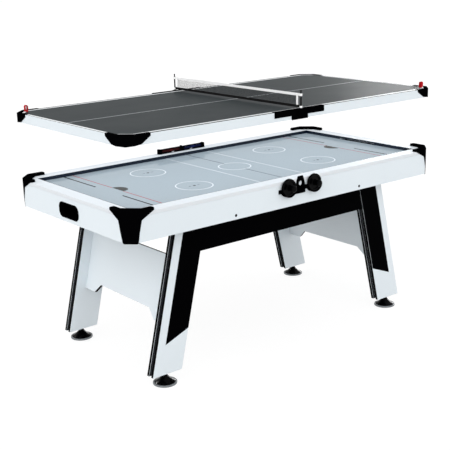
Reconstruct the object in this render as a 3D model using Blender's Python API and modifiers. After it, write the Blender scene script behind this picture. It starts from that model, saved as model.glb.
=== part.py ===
"""Multi game table: an air hockey table with a lift-on table tennis top, shown raised above it.

Metres, +Z up, +X along the table, the near long side towards -Y. The table is modelled about its own
middle and then moved along Y, so that the origin lies on the floor under the middle of the whole part.
"""

import math

import bmesh
import bpy
from mathutils import Matrix, Vector

for old in list(bpy.data.objects):
    bpy.data.objects.remove(old)

# Driving dimensions
table_length = 1.830
table_width = 0.914
rail_top = 0.806
apron_bottom = 0.686
tennis_top_height = 1.112
clear = 0.0003

# Corners, which the two tops share
cap_proud = 0.003
corner_cut = 0.053
cap_wing = 0.074
cap_flange = 0.022
cap_flange_corner = 0.079
face_x = table_length / 2 - cap_proud
face_y = table_width / 2 - cap_proud
cap_top = rail_top + 0.0125
cap_bottom = apron_bottom - 0.006
cap_wing_drop = 0.0125
cap_wing_round = 0.003
cap_shoulder_drop = 0.043
cap_shoulder_half = 0.047
cap_stem_half = 0.032
cap_round = 0.007

# Aprons, rails and the well that they frame
apron_thickness = 0.015
rail_width = 0.065
rail_thickness = 0.016
rail_bottom = rail_top - rail_thickness
apron_top = rail_bottom - clear
well_x = face_x - rail_width
well_y = face_y - rail_width
liner_thickness = 0.0025
liner_below_rail = 0.0005
apron_inner_x = face_x - apron_thickness
apron_inner_y = face_y - apron_thickness
board_x = apron_inner_x - clear
board_y = apron_inner_y - clear
board_corner_cut = corner_cut - apron_thickness + clear

# Goal slots, puck trays and their windows
goal_half_width = 0.125
goal_slot_height = 0.008
goal_edge_x = well_x + 0.0005
window_half_width = 0.0763
window_bottom = apron_bottom + 0.0215
window_top = window_bottom + 0.0595
window_radius = 0.023
tray_wall = 0.003
tray_half_width = 0.135
tray_inner_x = face_x - 0.1215
tray_bottom = window_bottom - 0.0045
bezel_margin = 0.004
bezel_thickness = 0.0022

# Playfield and the air box under it
playfield_top = rail_bottom - clear
playfield_thickness = 0.009
playfield_bottom = playfield_top - playfield_thickness
air_box_height = 0.045
air_box_wall = 0.018
air_box_x = tray_inner_x - 0.0005
bottom_board_thickness = 0.012
bottom_board_top = playfield_bottom - clear - air_box_height - clear
bottom_board_bottom = bottom_board_top - bottom_board_thickness
air_inlet_radius = 0.045

# Blower under the bottom board
blower_radius = 0.085
blower_height = 0.077
blower_wall = 0.003
blower_flange = 0.013
blower_top = bottom_board_bottom - clear
blower_bottom = blower_top - blower_height
vent_count = 10
vent_width = 0.026
vent_height = 0.022
vent_rise = 0.012
motor_radius = 0.032
motor_height = 0.042
motor_edge = 0.004
shaft_radius = 0.0050
shaft_depth = 0.018
impeller_radius = 0.068
impeller_rise = 0.013
impeller_disc = 0.003
hub_radius = 0.012
blade_count = 9
blade_height = 0.038
blade_thickness = 0.0022
blade_start = 0.030
blade_lean = math.radians(38)

# Legs, which lean outwards along X
leg_slope = 0.24
leg_outer_at_apron = table_length / 2 - 0.293
leg_width = 0.152
leg_bottom = 0.049
leg_top = bottom_board_bottom - clear
leg_face_y = table_width / 2 - 0.087
leg_board = 0.015
leg_depth = 0.045
leg_core_inset = 0.014
leg_middle_y = leg_face_y - leg_depth / 2
skirt_bottom = apron_bottom - 0.130

# End panels, parallel to the legs
panel_inset = 0.053
panel_thickness = 0.015
panel_top = skirt_bottom - 0.016
panel_edge = panel_top - 0.245
panel_tab_bottom = panel_top - 0.288
panel_tab_y = leg_face_y - 0.127
panel_cut_y = panel_tab_y - 0.045
panel_half_span = leg_face_y - leg_depth - clear

# Leg levelers
foot_radius = 0.0525
foot_plate = 0.0085
foot_lip = 0.0015
cone_radius = 0.0455
cone_tip_radius = 0.0085
cone_top = leg_bottom - clear
stud_radius = 0.0040
stud_top = leg_bottom + 0.034
stud_hole_extra = 0.016

# Strikers on their rack
striker_radius = 0.040
striker_rim = 0.012
striker_rim_width = 0.009
striker_dish = 0.0055
striker_depth = 0.045
knob_radius = 0.0150
knob_waist = 0.0115
knob_round_share = 0.35
striker_spacing = 0.077
striker_height = rail_top - 0.030
rack_thickness = 0.006
rack_half_length = 0.128
rack_bar_bottom = striker_height - 0.023
rack_bar_top = striker_height - 0.005
bracket_bottom = striker_height - 0.038
bracket_top = striker_height + 0.040
bracket_foot_half = 0.028
bracket_head_half = 0.014
bracket_hole_height = striker_height + 0.008
bracket_hole_radius = 0.0115
cradle_wall = 0.003
cradle_depth = 0.016
cradle_half_angle = math.radians(66)
rack_front = face_y + clear + rack_thickness
striker_front = rack_front + clear + striker_depth

# Scorer on the back rail
scorer_half_length = 0.1435
scorer_end_block = 0.0125
scorer_front = face_y - 0.0315
scorer_back = face_y - 0.014
scorer_top = rail_top + 0.023
scorer_end_proud = 0.002
display_start = 0.016
display_end = 0.122
display_bottom = scorer_top - 0.0145
display_top = scorer_top - 0.0025
display_depth = 0.0030
button_middle = 0.058
button_half_width = 0.007
button_bottom = rail_top + 0.0025
button_top = rail_top + 0.0070
button_length = 0.0060
button_proud = 0.0015
button_pocket_extra = 0.0020
sensor_half_width = 0.003
sensor_height = 0.005

# Tennis top
skirt_height = 0.040
frame_wall = 0.012
frame_rim = 0.005
tennis_board = 0.012
tennis_cap_depth = 0.046
tennis_cap_proud = 0.0025
tennis_cap_fold_depth = 0.041
tennis_cap_shoulder = 0.031
tennis_cap_shoulder_depth = 0.037
tennis_cap_tip_depth = 0.0095
tennis_cap_flange = 0.016
mid_half_length = 0.147
mid_strip_height = 0.024
mid_lip = 0.016
mid_thickness = 0.003
mid_tab_half = 0.048
mid_tab_height = 0.043
mid_proud = 0.003

# Net and its posts
post_radius = 0.0035
post_foot = 0.028
post_top = tennis_top_height + 0.084
post_tip = 0.010
boss_half_length = 0.013
boss_depth = 0.0115
boss_height = 0.034
net_top = tennis_top_height + 0.069
net_bottom = tennis_top_height + 0.007
tape_height = 0.011
tape_half_thickness = 0.0015
cord_height = 0.003
side_tape_inner = face_y - 0.020
side_tape_outer = face_y - 0.010
sleeve_wall = 0.0024
strand_half_thickness = 0.0006
strand_width = 0.0022
net_columns = 45
net_rows = 4
mid_face = face_y + clear + mid_thickness
post_y = mid_face + boss_depth / 2
back_reach = mid_face + boss_depth

# Fabric pull loops on two corners of the tennis top
loop_inset = 0.0205
loop_width = 0.016
loop_height = 0.030
loop_depth = 0.014
loop_strap = 0.0022

arc_steps = 8
round_steps = 40
weld_distance = 0.000001
axis_merge = 0.00001
table_shift = (striker_front - back_reach) / 2

# Finishes: colour, roughness, metallic
white_laminate = ((0.90, 0.91, 0.92), 0.35, 0.0)
grey_board = ((0.42, 0.44, 0.46), 0.60, 0.0)
black_plastic = ((0.015, 0.015, 0.017), 0.35, 0.0)
black_laminate = ((0.010, 0.010, 0.012), 0.30, 0.0)
navy_plastic = ((0.012, 0.022, 0.055), 0.25, 0.0)
playfield_gloss = ((0.56, 0.61, 0.66), 0.12, 0.0)
tennis_grey = ((0.062, 0.072, 0.076), 0.45, 0.0)
red_lens = ((0.60, 0.02, 0.02), 0.20, 0.0)
blue_lens = ((0.03, 0.10, 0.60), 0.20, 0.0)
grey_plastic = ((0.35, 0.36, 0.37), 0.40, 0.0)
steel = ((0.55, 0.56, 0.57), 0.30, 1.0)
net_black = ((0.02, 0.02, 0.02), 0.80, 0.0)
red_fabric = ((0.55, 0.01, 0.03), 0.85, 0.0)

parts = bpy.data.collections.new("multi_game_table")
helpers = bpy.data.collections.new("cutters")
for collection in (parts, helpers):
    bpy.context.scene.collection.children.link(collection)
table_middle = bpy.data.objects.new("table_middle", None)
table_middle.location = (0, table_shift, 0)
parts.objects.link(table_middle)

# Frames for outlines drawn in a plane: flat, facing -Y, and facing +X
flat = Matrix.Identity(4)
facing_y = Matrix(((1, 0, 0, 0), (0, 0, -1, 0), (0, 1, 0, 0), (0, 0, 0, 1)))
facing_x = Matrix(((0, 0, 1, 0), (1, 0, 0, 0), (0, 1, 0, 0), (0, 0, 0, 1)))

# Names and mirroring signs of what stands at each side, end or corner
ends = {"left": (-1, 1), "right": (1, 1)}
sides = {"front": (1, -1), "back": (1, 1)}
corners = {
    "front_left": (-1, -1),
    "front_right": (1, -1),
    "back_left": (-1, 1),
    "back_right": (1, 1),
}


def finish_object(obj, look):
    """Gives an object a material of its own name."""
    colour, roughness, metallic = look
    material = bpy.data.materials.new(obj.name)
    material.use_nodes = True
    shader = material.node_tree.nodes["Principled BSDF"]
    shader.inputs["Base Color"].default_value = (*colour, 1)
    shader.inputs["Roughness"].default_value = roughness
    shader.inputs["Metallic"].default_value = metallic
    obj.material_slots[0].link = "OBJECT"
    obj.material_slots[0].material = material


def add(name, mesh, look, at=(0, 0, 0), mirror=(1, 1)):
    """A part at a place in the table's own frame, mirrored to its side of the table."""
    if not mesh.materials:
        mesh.materials.append(None)
    obj = bpy.data.objects.new(name, mesh)
    parts.objects.link(obj)
    obj.parent = table_middle
    obj.location = at
    obj.scale = (*mirror, 1)
    finish_object(obj, look)
    return obj


def add_copies(name, mesh, look, places):
    for place, mirror in places.items():
        add(f"{name}_{place}", mesh, look, mirror=mirror)


def box(low, high):
    mesh = bpy.data.meshes.new("box")
    shape = bmesh.new()
    middle = (Vector(low) + Vector(high)) / 2
    size = Vector(high) - Vector(low)
    bmesh.ops.create_cube(shape, size=1, matrix=Matrix.Translation(middle) @ Matrix.Diagonal((*size, 1)))
    shape.to_mesh(mesh)
    shape.free()
    return mesh


def cylinder(radius, low, high, segments=round_steps, x=0, y=0):
    """An upright cylinder between two heights."""
    mesh = bpy.data.meshes.new("cylinder")
    shape = bmesh.new()
    centre = Matrix.Translation((x, y, (low + high) / 2))
    bmesh.ops.create_cone(
        shape, cap_ends=True, segments=segments, radius1=radius, radius2=radius, depth=high - low, matrix=centre
    )
    shape.to_mesh(mesh)
    shape.free()
    return mesh


def meshed(obj):
    """The object's evaluated shape as a mesh of its own, with its loose caps joined."""
    bpy.context.view_layer.update()
    evaluated = obj.evaluated_get(bpy.context.evaluated_depsgraph_get())
    mesh = bpy.data.meshes.new_from_object(evaluated)
    shape = bmesh.new()
    shape.from_mesh(mesh)
    bmesh.ops.remove_doubles(shape, verts=shape.verts, dist=weld_distance)
    shape.to_mesh(mesh)
    shape.free()
    mesh.materials.clear()
    bpy.data.objects.remove(obj)
    return mesh


def plate(outlines, low, high, frame=flat):
    """Closed outlines filled and extruded from low to high along the frame's own third axis."""
    curve = bpy.data.curves.new("outline", "CURVE")
    curve.dimensions = "2D"
    curve.fill_mode = "BOTH"
    curve.extrude = (high - low) / 2
    for outline in outlines:
        spline = curve.splines.new("POLY")
        spline.points.add(len(outline) - 1)
        spline.use_cyclic_u = True
        for point, (x, y) in zip(spline.points, outline):
            point.co = (x, y, 0, 1)
    guide = bpy.data.objects.new("outline", curve)
    helpers.objects.link(guide)
    mesh = meshed(guide)
    mesh.transform(frame @ Matrix.Translation((0, 0, (low + high) / 2)))
    return mesh


def turned(profile, steps=round_steps):
    """A profile of (radius, height) points, from the top down, turned about Z."""
    mesh = bpy.data.meshes.new("profile")
    mesh.from_pydata([(radius, 0, height) for radius, height in profile],
                     [(i, i + 1) for i in range(len(profile) - 1)], [])
    guide = bpy.data.objects.new("profile", mesh)
    helpers.objects.link(guide)
    screw = guide.modifiers.new("turn", "SCREW")
    screw.steps = screw.render_steps = steps
    screw.use_merge_vertices = True
    screw.merge_threshold = axis_merge
    return meshed(guide)


def combined(mesh, *changes):
    """The mesh after Boolean changes, each an operation and another mesh."""
    target = bpy.data.objects.new("target", mesh)
    helpers.objects.link(target)
    tools = []
    for operation, other in changes:
        tool = bpy.data.objects.new("cutter", other)
        tool.hide_render = True
        tool.display_type = "WIRE"
        helpers.objects.link(tool)
        tools.append(tool)
        modifier = target.modifiers.new(operation.lower(), "BOOLEAN")
        modifier.operation = operation
        modifier.object = tool
    result = meshed(target)
    for tool in tools:
        bpy.data.objects.remove(tool)
    return result


def arc(centre, radius, start, end, steps=arc_steps):
    return [
        (
            centre[0] + radius * math.cos(start + (end - start) * i / steps),
            centre[1] + radius * math.sin(start + (end - start) * i / steps),
        )
        for i in range(steps + 1)
    ]


def circle(centre, radius, steps=round_steps):
    return arc(centre, radius, 0, 2 * math.pi * (1 - 1 / steps), steps - 1)


def rectangle(low_x, low_y, high_x, high_y):
    return [(low_x, low_y), (high_x, low_y), (high_x, high_y), (low_x, high_y)]


def rounded_rectangle(half_width, low, high, radius):
    quarter = math.pi / 2
    centres = [
        (half_width - radius, high - radius),
        (radius - half_width, high - radius),
        (radius - half_width, low + radius),
        (half_width - radius, low + radius),
    ]
    return [p for i, c in enumerate(centres) for p in arc(c, radius, i * quarter, (i + 1) * quarter)]


def chamfered(half_x, half_y, cut):
    """A rectangle about the middle with its corners cut at 45 degrees."""
    quarter = [(half_x, half_y - cut), (half_x - cut, half_y)]
    left = [(-x, y) for x, y in reversed(quarter)]
    return quarter + left + [(-x, -y) for x, y in quarter] + [(-x, -y) for x, y in left]


def half_chamfered(start, inset):
    """The +X half of a top's outline, set in by a given width, from its -Y end round to its +Y end."""
    half_x = face_x - inset
    half_y = face_y - inset
    cut = corner_cut - inset * (2 - math.sqrt(2))
    return [
        (start, -half_y),
        (half_x - cut, -half_y),
        (half_x, -(half_y - cut)),
        (half_x, half_y - cut),
        (half_x - cut, half_y),
        (start, half_y),
    ]


def leg_outer(height):
    return leg_outer_at_apron + leg_slope * (apron_bottom - height)


def leg_inner(height):
    return leg_outer(height) - leg_width


def corner_side(distance, cut):
    """Plan of one side of a strip round a top's corner: a distance outside its faces, cut across the corner."""
    reach = corner_cut + cap_wing
    return [
        (face_x - reach, face_y + distance),
        (face_x - cut, face_y + distance),
        (face_x + distance, face_y - cut),
        (face_x + distance, face_y - reach),
    ]


def corner_line(distance):
    """The side of a strip that keeps one distance from a top's faces and its cut corner."""
    return corner_side(distance, corner_cut - distance * math.tan(math.pi / 8))


def across_corner(outline, low, high):
    """An outline of (distance from the corner's middle, height), extruded along the corner's diagonal."""
    turn = Matrix.Rotation(math.pi / 4, 4, "Z")
    ridge = Matrix.Translation((face_x - corner_cut / 2, face_y - corner_cut / 2, 0))
    return plate([outline], low, high, ridge @ turn @ facing_x)


def mirrored_outline(half):
    """Both halves of an outline from the points of its positive half, listed from the top down."""
    return half + [(-x, z) for x, z in reversed(half)]


def corner_cap(outline, lip, flange_side):
    """A moulded cap: a folded strip, a flange over the top and a side outline that shapes both wings."""
    reach = corner_cut + cap_wing
    top = outline[0][1] + cap_proud
    shell = plate([corner_line(cap_proud) + corner_line(clear)[::-1]], outline[-1][1] - cap_proud, top)
    flange_outline = corner_line(cap_proud / 2) + flange_side[::-1]
    flange = plate([flange_outline], outline[0][1] - lip, top + cap_proud)
    return combined(
        shell,
        ("UNION", flange),
        ("INTERSECT", across_corner(mirrored_outline(outline), -reach, reach)),
    )


def build_corner_caps():
    wing_tip = (corner_cut + cap_wing) / math.sqrt(2)
    outline = arc((wing_tip - cap_wing_round, cap_top - cap_wing_round), cap_wing_round, math.pi / 2, 0, arc_steps // 2)
    outline += arc(
        (wing_tip - cap_wing_round, cap_top - cap_wing_drop + cap_wing_round),
        cap_wing_round,
        0,
        -math.pi / 4,
        arc_steps // 2,
    )
    outline.append((cap_shoulder_half, cap_top - cap_shoulder_drop))
    outline += arc((cap_stem_half - cap_round, cap_bottom + cap_round), cap_round, 0, -math.pi / 2, arc_steps // 2)
    cap = corner_cap(outline, cap_top - rail_top - clear, corner_side(-cap_flange, cap_flange_corner))
    add_copies("corner_cap", cap, black_plastic, corners)


def window_outline(margin):
    return rounded_rectangle(
        window_half_width + margin, window_bottom - margin, window_top + margin, window_radius + margin
    )


def build_aprons():
    half_length = face_x - corner_cut
    half_width = face_y - corner_cut
    joint_y = half_width + clear
    right = [
        (half_length, face_y),
        (face_x - clear, joint_y),
        (apron_inner_x, joint_y),
        (half_length, apron_inner_y),
    ]
    outline = right + [(-x, y) for x, y in reversed(right)]
    add_copies("apron", plate([outline], apron_bottom, apron_top), white_laminate, sides)
    outline = rectangle(-half_width, apron_bottom, half_width, apron_top)
    end = plate([outline, window_outline(0)], apron_inner_x, face_x, facing_x)
    add_copies("apron", end, white_laminate, ends)


def build_rails():
    mitre_x = face_x - corner_cut / 2
    mitre_y = face_y - corner_cut / 2
    long_side = [
        (face_x - corner_cut, face_y),
        (mitre_x - clear, mitre_y),
        (well_x - clear, well_y),
    ]
    long_side += [(-x, y) for x, y in reversed(long_side)]
    add_copies("rail", plate([long_side], rail_bottom, rail_top), white_laminate, sides)
    end = [
        (face_x, face_y - corner_cut),
        (mitre_x, mitre_y - clear),
        (well_x, well_y - clear),
    ]
    end += [(x, -y) for x, y in reversed(end)]
    slot_top = playfield_top + goal_slot_height
    slot = box(
        (well_x - rail_width, -goal_half_width, rail_bottom - clear),
        (apron_inner_x + clear, goal_half_width, slot_top),
    )
    rail = combined(plate([end], rail_bottom, rail_top), ("DIFFERENCE", slot))
    add_copies("rail", rail, white_laminate, ends)
    outer_x = well_x - 2 * clear
    outer_y = well_y - 2 * clear
    inner_x = outer_x - liner_thickness
    inner_y = outer_y - liner_thickness
    ring = plate(
        [rectangle(-outer_x, -outer_y, outer_x, outer_y), rectangle(-inner_x, -inner_y, inner_x, inner_y)],
        playfield_top + clear,
        rail_top - liner_below_rail,
    )
    slots = box((-face_x, -goal_half_width, playfield_top), (face_x, goal_half_width, slot_top))
    add("rail_liner", combined(ring, ("DIFFERENCE", slots)), navy_plastic)


def build_playfield():
    outline = chamfered(board_x, board_y, board_corner_cut)
    board = plate([outline], playfield_bottom, playfield_top)
    drops = [
        ("DIFFERENCE", box(
            (min(side * goal_edge_x, side * face_x), -goal_half_width, playfield_bottom - clear),
            (max(side * goal_edge_x, side * face_x), goal_half_width, playfield_top + clear),
        ))
        for side in (-1, 1)
    ]
    add("playfield_board", combined(board, *drops), playfield_gloss)
    inner_x = air_box_x - air_box_wall
    inner_y = board_y - air_box_wall
    frame = plate(
        [rectangle(-air_box_x, -board_y, air_box_x, board_y), rectangle(-inner_x, -inner_y, inner_x, inner_y)],
        bottom_board_top + clear,
        playfield_bottom - clear,
    )
    add("air_box_frame", frame, grey_board)
    bottom = plate(
        [rectangle(-air_box_x, -board_y, air_box_x, board_y), circle((0, 0), air_inlet_radius)],
        bottom_board_bottom,
        bottom_board_top,
    )
    add("bottom_board", bottom, grey_board)


def build_puck_trays():
    tray_top = playfield_bottom - clear
    tray_outer_x = apron_inner_x - clear
    body = box((tray_inner_x, -tray_half_width, tray_bottom), (tray_outer_x, tray_half_width, tray_top))
    hollow = box(
        (tray_inner_x + tray_wall, tray_wall - tray_half_width, tray_bottom + tray_wall),
        (tray_outer_x - tray_wall, tray_half_width - tray_wall, tray_top + tray_wall),
    )
    collar = plate([window_outline(-clear)], tray_outer_x - tray_wall, face_x + bezel_thickness, facing_x)
    bezel = plate([window_outline(bezel_margin)], face_x + clear, face_x + bezel_thickness, facing_x)
    passage = plate([window_outline(-tray_wall)], tray_outer_x - 2 * tray_wall, face_x + bezel_margin, facing_x)
    tray = combined(body, ("DIFFERENCE", hollow), ("UNION", collar), ("UNION", bezel), ("DIFFERENCE", passage))
    add_copies("puck_tray", tray, black_plastic, ends)


def build_blower():
    flange_radius = blower_radius + blower_flange
    inner_radius = blower_radius - blower_wall
    bore_radius = shaft_radius + clear
    floor = blower_bottom + blower_wall
    profile = [
        (inner_radius, blower_top),
        (flange_radius, blower_top),
        (flange_radius, blower_top - blower_wall),
        (blower_radius, blower_top - blower_wall),
        (blower_radius, blower_bottom),
        (bore_radius, blower_bottom),
        (bore_radius, floor),
        (inner_radius, floor),
        (inner_radius, blower_top),
    ]
    vents = []
    for i in range(vent_count):
        vent = box(
            (inner_radius - blower_wall, -vent_width / 2, floor + vent_rise),
            (blower_radius + blower_wall, vent_width / 2, floor + vent_rise + vent_height),
        )
        vent.transform(Matrix.Rotation(2 * math.pi * i / vent_count, 4, "Z"))
        vents.append(("DIFFERENCE", vent))
    add("blower_housing", combined(turned(profile), *vents), black_plastic)
    motor_top = blower_bottom - clear
    motor = turned([
        (0, motor_top),
        (motor_radius, motor_top),
        (motor_radius, motor_top - motor_height + motor_edge),
        (motor_radius - motor_edge, motor_top - motor_height),
        (0, motor_top - motor_height),
    ])
    shaft_hole = cylinder(bore_radius, motor_top - shaft_depth, motor_top + clear)
    add("blower_motor", combined(motor, ("DIFFERENCE", shaft_hole)), steel)
    disc_bottom = floor + impeller_rise
    disc_top = disc_bottom + impeller_disc
    shaft_bottom = motor_top - shaft_depth + clear
    wheel = turned([
        (0, disc_top + blade_height / 2),
        (hub_radius, disc_top + blade_height / 2),
        (hub_radius, disc_top),
        (impeller_radius, disc_top),
        (impeller_radius, disc_bottom),
        (shaft_radius, disc_bottom),
        (shaft_radius, shaft_bottom),
        (0, shaft_bottom),
    ])
    blades = []
    for i in range(blade_count):
        blade = box(
            (0, -blade_thickness / 2, disc_top - impeller_disc / 2),
            (impeller_radius - blade_start, blade_thickness / 2, disc_top + blade_height),
        )
        blade.transform(
            Matrix.Rotation(2 * math.pi * i / blade_count, 4, "Z")
            @ Matrix.Translation((blade_start, 0, 0))
            @ Matrix.Rotation(blade_lean, 4, "Z")
        )
        blades.append(("UNION", blade))
    add("blower_impeller", combined(wheel, *blades), grey_plastic)


def leg_outline(inset, low):
    """A leg's side outline, set in from its slanting edges."""
    return [
        (leg_inner(low) + inset, low),
        (leg_outer(low) - inset, low),
        (leg_outer(leg_top) - inset, leg_top),
        (leg_inner(leg_top) + inset, leg_top),
    ]


def leg_plate(inset, low, near, far):
    """A leg board between two distances from the table's middle plane."""
    return plate([leg_outline(inset, low)], -far, -near, facing_y)


def build_legs():
    outer = leg_plate(0, leg_bottom, leg_face_y - leg_board, leg_face_y)
    add_copies("leg_outer_board", outer, white_laminate, corners)
    back = leg_face_y - leg_depth
    core = leg_plate(leg_core_inset, leg_bottom, back + leg_board / 2, leg_face_y - leg_board - clear)
    foot_x = foot_middle()
    hole = cylinder(
        stud_radius + clear, leg_bottom - clear, stud_top + stud_hole_extra, arc_steps * 2, foot_x, leg_middle_y
    )
    inner = combined(
        leg_plate(0, leg_bottom, back, back + leg_board), ("UNION", core), ("DIFFERENCE", hole)
    )
    add_copies("leg_inner_board", inner, white_laminate, corners)
    gap = clear / math.cos(math.atan(leg_slope))
    edge = [(leg_inner(skirt_bottom) - gap, skirt_bottom), (leg_inner(leg_top) - gap, leg_top)]
    skirt = plate([edge + [(-x, z) for x, z in reversed(edge)]], -leg_face_y, leg_board - leg_face_y, facing_y)
    add_copies("long_skirt", skirt, black_laminate, sides)


def foot_middle():
    return leg_outer(leg_bottom) - leg_width / 2


def build_end_panels():
    lean = math.atan(leg_slope)
    rise = 1 / math.cos(lean)
    hinge_x = leg_outer(panel_top) - panel_inset
    right = [
        (panel_half_span, 0),
        (panel_half_span, (panel_tab_bottom - panel_top) * rise),
        (panel_tab_y, (panel_tab_bottom - panel_top) * rise),
        (panel_cut_y, (panel_edge - panel_top) * rise),
    ]
    outline = right + [(-y, z) for y, z in reversed(right)]
    place = Matrix.Translation((hinge_x, 0, panel_top)) @ Matrix.Rotation(-lean, 4, "Y") @ facing_x
    add_copies("end_panel", plate([outline], -panel_thickness, 0, place), white_laminate, ends)


def build_levelers():
    profile = [
        (0, stud_top),
        (stud_radius, stud_top),
        (stud_radius, cone_top),
        (cone_tip_radius, cone_top),
        (cone_radius, foot_plate),
        (foot_radius - foot_lip, foot_plate),
        (foot_radius, foot_plate - foot_lip),
        (foot_radius, foot_lip),
        (foot_radius - foot_lip, 0),
        (0, 0),
    ]
    mesh = turned(profile, arc_steps * 4)
    for place, (side_x, side_y) in corners.items():
        add(f"leveler_{place}", mesh, black_plastic, at=(side_x * foot_middle(), side_y * leg_middle_y, 0))


def build_rack():
    bar = rectangle(-rack_half_length, rack_bar_bottom, rack_half_length, rack_bar_top)
    head = [
        (bracket_foot_half, bracket_bottom),
        (bracket_foot_half, rack_bar_top),
        (bracket_head_half, bracket_top),
    ]
    head += [(-x, z) for x, z in reversed(head)]
    hole = circle((0, bracket_hole_height), bracket_hole_radius, arc_steps * 3)
    front = -(face_y + clear)
    back = -rack_front
    rack = plate([bar], -front, -back, facing_y)
    changes = [("UNION", plate([head, hole], -front, -back, facing_y))]
    bottom = -math.pi / 2
    inner = striker_radius + clear
    for side in (-1, 1):
        centre = (side * striker_spacing, striker_height)
        first = bottom - cradle_half_angle
        last = bottom + cradle_half_angle
        ledge = arc(centre, inner, first, last, 2 * arc_steps)
        ledge += arc(centre, inner + cradle_wall, last, first, 2 * arc_steps)
        changes.append(("UNION", plate([ledge], -front, rack_front + cradle_depth, facing_y)))
    add("striker_rack", combined(rack, *changes), black_plastic)


def build_strikers():
    rim_top = striker_rim
    dish = rim_top - striker_dish
    knob_top = striker_depth
    knob_edge = knob_round_share * knob_radius
    profile = [
        (0, knob_top),
        (knob_radius - knob_edge, knob_top),
        (knob_radius, knob_top - knob_edge),
        (knob_radius, knob_top - 2 * knob_edge),
        (knob_waist, rim_top),
        (knob_radius, dish),
        (striker_radius - striker_rim_width, dish),
        (striker_radius - striker_rim_width / 2, rim_top),
        (striker_radius, rim_top - striker_rim_width / 4),
        (striker_radius, 0),
        (0, 0),
    ]
    mesh = turned(profile, arc_steps * 4)
    mesh.transform(Matrix.Rotation(math.pi / 2, 4, "X"))
    for side, (sign, _) in ends.items():
        add(
            f"striker_{side}",
            mesh,
            black_plastic,
            at=(sign * striker_spacing, -(rack_front + clear), striker_height),
        )


def build_scorer():
    base = rail_top + clear
    body_end = scorer_half_length - scorer_end_block / 2
    body = box(
        (-body_end, scorer_front, base + clear), (body_end, scorer_back - scorer_end_proud, scorer_top)
    )
    changes = []
    for side in (-1, 1):
        outer = side * scorer_half_length
        inner = side * (scorer_half_length - scorer_end_block)
        block = box(
            (min(outer, inner), scorer_front - scorer_end_proud, base),
            (max(outer, inner), scorer_back, scorer_top + scorer_end_proud),
        )
        changes.append(("UNION", block))
    sensor = box(
        (-sensor_half_width, scorer_front + sensor_half_width, scorer_top - sensor_half_width),
        (sensor_half_width, scorer_back - sensor_half_width, scorer_top + sensor_height),
    )
    changes.append(("UNION", sensor))
    for side in (-1, 1):
        low_x, high_x = sorted((side * display_start, side * display_end))
        pocket = box(
            (low_x - clear, scorer_front - clear, display_bottom - clear),
            (high_x + clear, scorer_front + display_depth + clear, display_top + clear),
        )
        changes.append(("DIFFERENCE", pocket))
        middle = side * button_middle
        button_hole = box(
            (middle - button_half_width - clear, scorer_front - clear, button_bottom - clear),
            (
                middle + button_half_width + clear,
                scorer_front - button_proud + button_length + button_pocket_extra,
                button_top + clear,
            ),
        )
        changes.append(("DIFFERENCE", button_hole))
    add("scorer_housing", combined(body, *changes), black_plastic)
    for side, look in ((-1, red_lens), (1, blue_lens)):
        name = "left" if side < 0 else "right"
        low_x, high_x = sorted((side * display_start, side * display_end))
        display = box((low_x, scorer_front, display_bottom), (high_x, scorer_front + display_depth, display_top))
        add(f"score_display_{name}", display, look)
        button = box(
            (-button_half_width, -button_proud, button_bottom - button_top),
            (button_half_width, button_length - button_proud, 0),
        )
        add(f"scorer_button_{name}", button, grey_plastic, at=(side * button_middle, scorer_front, button_top))


def build_tennis_top():
    top = tennis_top_height
    seam = clear / 2
    ledge = top - tennis_board - clear
    half_board = plate([half_chamfered(seam, frame_rim + clear)], top - tennis_board, top)
    add_copies("tennis_board", half_board, tennis_grey, ends)
    outer = half_chamfered(seam, 0)
    lower = plate([outer + half_chamfered(seam, frame_wall)[::-1]], top - skirt_height, ledge)
    upper = plate([outer + half_chamfered(seam, frame_rim)[::-1]], ledge - frame_rim, top)
    add_copies("tennis_frame", combined(lower, ("UNION", upper)), white_laminate, ends)
    fold = corner_cut / math.sqrt(2)
    tip = fold + cap_wing / math.sqrt(2)
    outline = [
        (tip, top + tennis_cap_proud),
        (tip, top - tennis_cap_tip_depth),
        (fold + tennis_cap_shoulder / math.sqrt(2), top - tennis_cap_shoulder_depth),
        (fold, top - tennis_cap_fold_depth),
        (0, top - tennis_cap_depth),
    ]
    cap = corner_cap(outline, tennis_cap_proud - clear, corner_line(-tennis_cap_flange))
    add_copies("tennis_cap", cap, black_plastic, corners)


def build_mid_brackets():
    top = tennis_top_height
    outer_face = mid_face
    inner_face = face_y + clear
    lip_top = top + mid_proud
    strip = box((-mid_half_length, inner_face, top - mid_strip_height), (mid_half_length, outer_face, lip_top))
    lip = box((-mid_half_length, face_y - mid_lip, top + clear), (mid_half_length, outer_face, lip_top))
    tab = box((-mid_tab_half, inner_face, top - mid_tab_height), (mid_tab_half, outer_face, top))
    boss = box(
        (-boss_half_length, outer_face - mid_thickness / 2, lip_top - boss_height),
        (boss_half_length, outer_face + boss_depth, lip_top),
    )
    socket = cylinder(
        post_radius + clear, top - post_foot - clear, lip_top + clear, arc_steps * 2, 0, post_y
    )
    bracket = combined(strip, ("UNION", lip), ("UNION", tab), ("UNION", boss), ("DIFFERENCE", socket))
    add_copies("mid_bracket", bracket, black_plastic, sides)


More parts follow.
